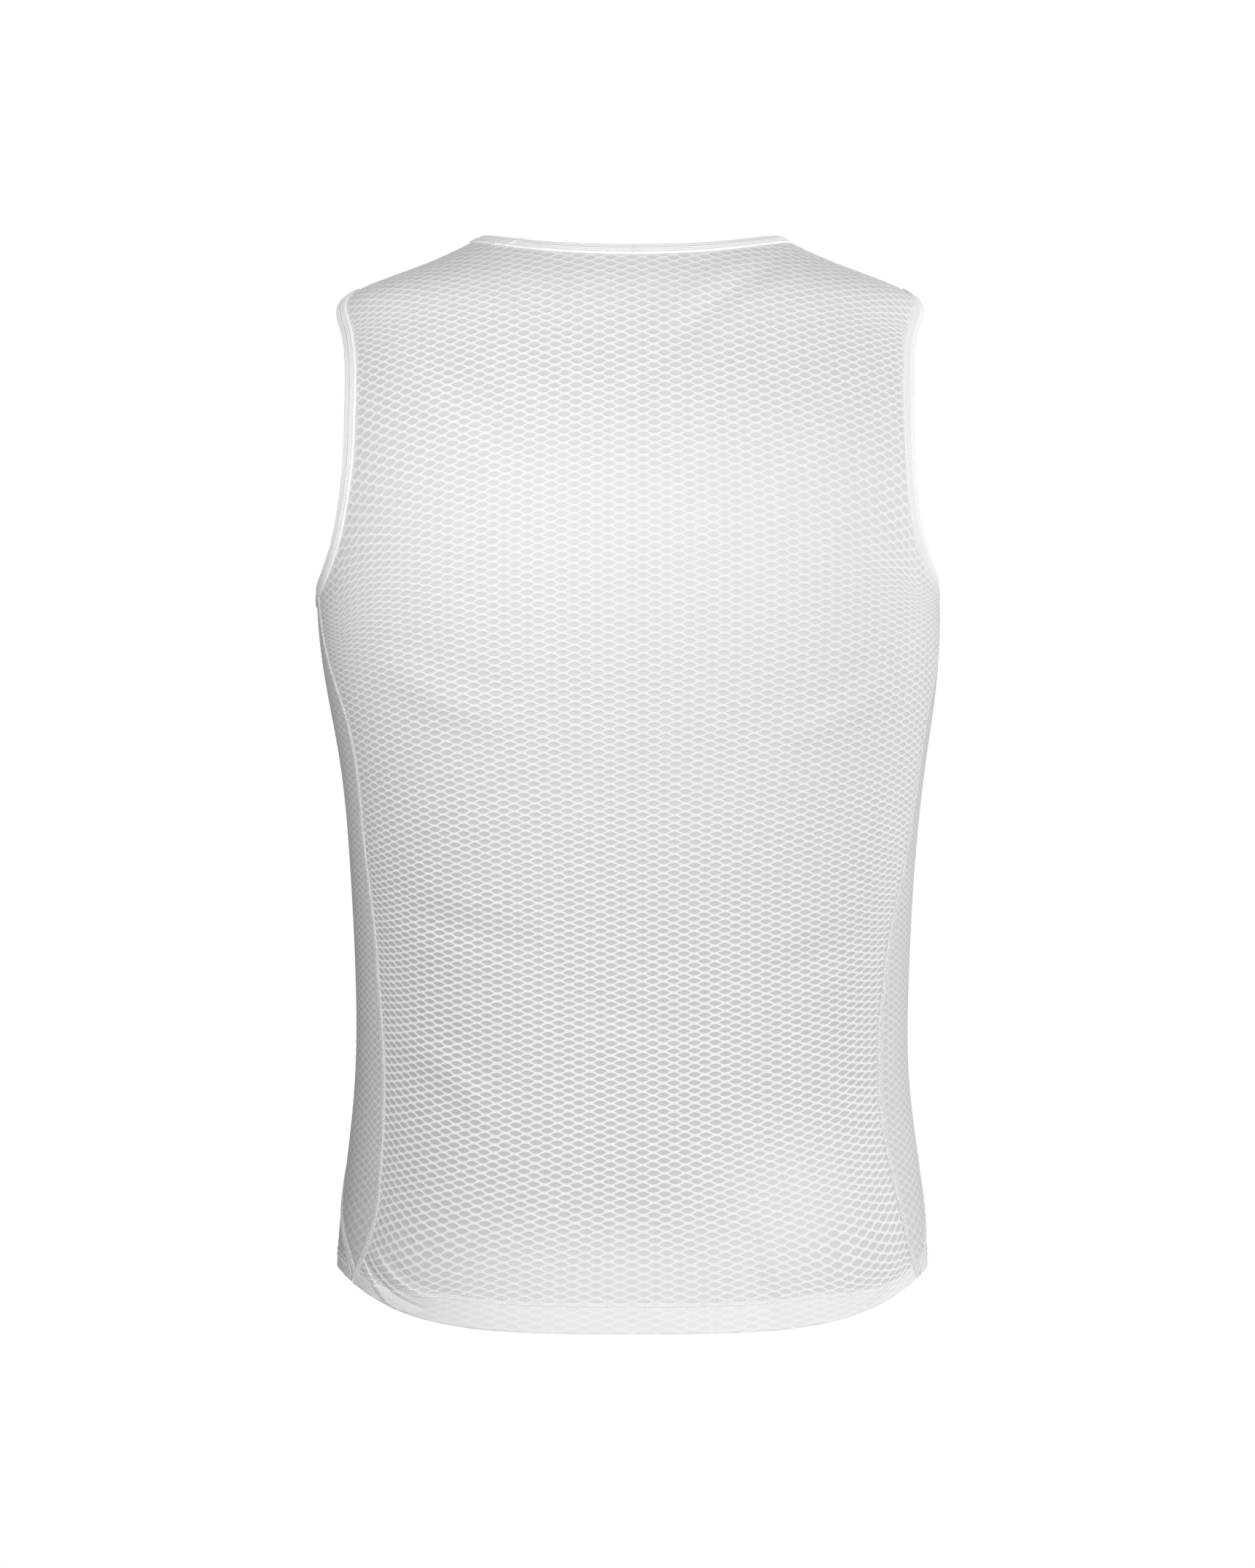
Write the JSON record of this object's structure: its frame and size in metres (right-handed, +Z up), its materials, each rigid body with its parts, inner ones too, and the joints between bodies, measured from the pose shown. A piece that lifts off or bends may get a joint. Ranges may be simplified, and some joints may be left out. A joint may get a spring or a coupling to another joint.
{
  "type": "sleeveless base layer, worn and filled out with no wearer",
  "caption": "Sleeveless sports base layer of white open mesh with bound neck and armholes, side panels and a drop-tail hem, hollow as worn.",
  "frame": {"origin": "midway between the neck-side points of the shoulders, where the wearer holds the garment up", "axes": "+Z up, +Y toward the wearer's back, +X toward the wearer's left"},
  "size_m": [0.3673, 0.2447, 0.6352],
  "materials": {
    "mesh": "matt white polyester net with lens-shaped pits in staggered rows",
    "side_mesh": "matt white polyester net, the same as the back",
    "binding": "soft white elastic binding with lengthwise stitch ridges"
  },
  "bodies": {
    "root": {"back_panel": "mesh", "front_panel": "mesh", "side_panel_left": "side_mesh", "side_panel_right": "side_mesh", "neck_binding": "binding", "armhole_binding_left": "binding", "armhole_binding_right": "binding"}
  },
  "joints": []
}
